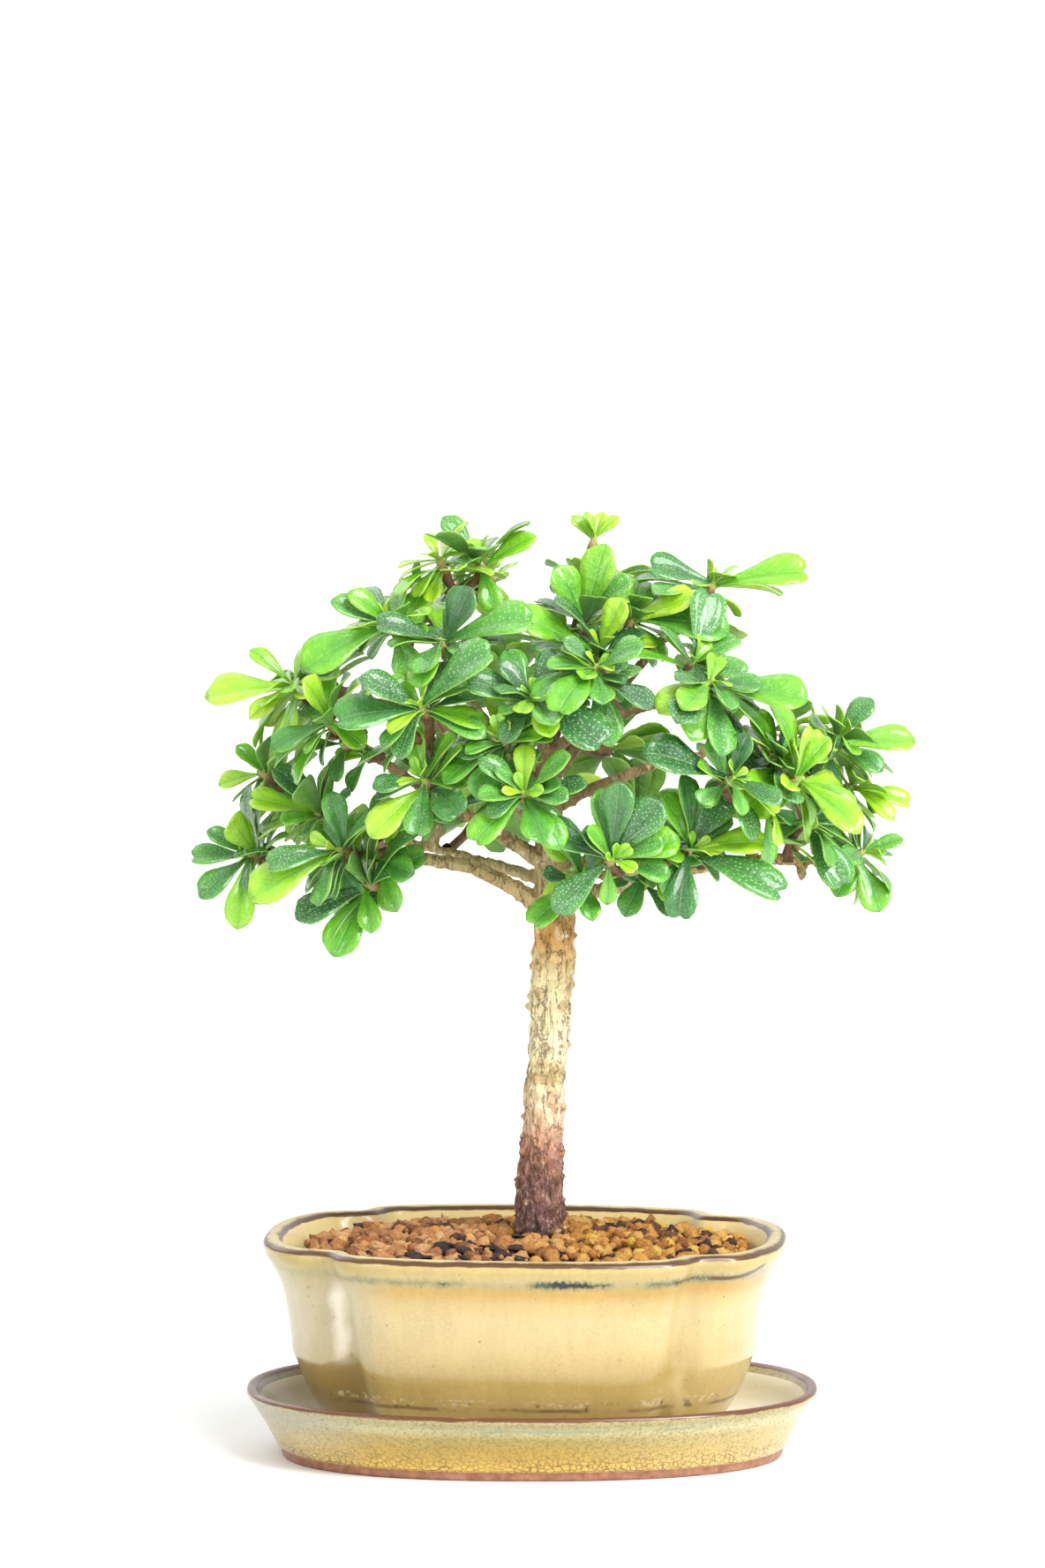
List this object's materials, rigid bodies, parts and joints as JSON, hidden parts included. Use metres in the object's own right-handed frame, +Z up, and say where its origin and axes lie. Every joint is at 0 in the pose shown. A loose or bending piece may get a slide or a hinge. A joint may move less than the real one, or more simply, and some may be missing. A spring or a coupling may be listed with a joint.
{
  "type": "fukien tea bonsai",
  "caption": "Small bonsai tree with a rounded crown of spoon-shaped leaves, in a lobed glazed pot of clay granules, standing on an oval glazed saucer.",
  "frame": {"origin": "centre of the saucer's flat underside", "axes": "+Z up along the height, +X along the pot's length to the right seen from the front, -Y to the front"},
  "size_m": [0.2072, 0.1377, 0.2706],
  "materials": {
    "saucer_glaze": "gloss celadon and mustard glaze",
    "pot_glaze": "gloss cream and olive glaze with a brown rim line",
    "soil": "matt baked clay granules",
    "bark": "matt warty bark",
    "leaves": "glossy green leaves"
  },
  "bodies": {
    "root": {"saucer": "saucer_glaze", "pot": "pot_glaze", "soil": "soil", "trunk_and_branches": "bark", "leafy_twig_01": "leaves", "leafy_twig_02": "leaves", "leafy_twig_03": "leaves", "leafy_twig_04": "leaves", "leafy_twig_05": "leaves", "leafy_twig_06": "leaves", "leafy_twig_07": "leaves", "leafy_twig_08": "leaves", "leafy_twig_09": "leaves", "leafy_twig_10": "leaves", "leafy_twig_11": "leaves", "leafy_twig_12": "leaves", "leafy_twig_13": "leaves", "leafy_twig_14": "leaves", "leafy_twig_15": "leaves", "leafy_twig_16": "leaves", "leafy_twig_17": "leaves", "leafy_twig_18": "leaves", "leafy_twig_19": "leaves", "leafy_twig_20": "leaves", "leafy_twig_21": "leaves", "leafy_twig_22": "leaves", "leafy_twig_23": "leaves", "leafy_twig_24": "leaves", "leafy_twig_25": "leaves", "leafy_twig_26": "leaves", "leafy_twig_27": "leaves", "leafy_twig_28": "leaves", "leafy_twig_29": "leaves", "leafy_twig_30": "leaves", "leafy_twig_31": "leaves", "leafy_twig_32": "leaves", "leafy_twig_33": "leaves", "leafy_twig_34": "leaves", "leafy_twig_35": "leaves", "leafy_twig_36": "leaves", "leafy_twig_37": "leaves", "leafy_twig_38": "leaves", "leafy_twig_39": "leaves", "leafy_twig_40": "leaves", "leafy_twig_41": "leaves", "leafy_twig_42": "leaves", "leafy_twig_43": "leaves", "leafy_twig_44": "leaves", "leafy_twig_45": "leaves", "leafy_twig_46": "leaves", "leafy_twig_47": "leaves", "leafy_twig_48": "leaves", "leafy_twig_49": "leaves", "leafy_twig_50": "leaves", "leafy_twig_51": "leaves", "leafy_twig_52": "leaves", "leafy_twig_53": "leaves"}
  },
  "joints": []
}
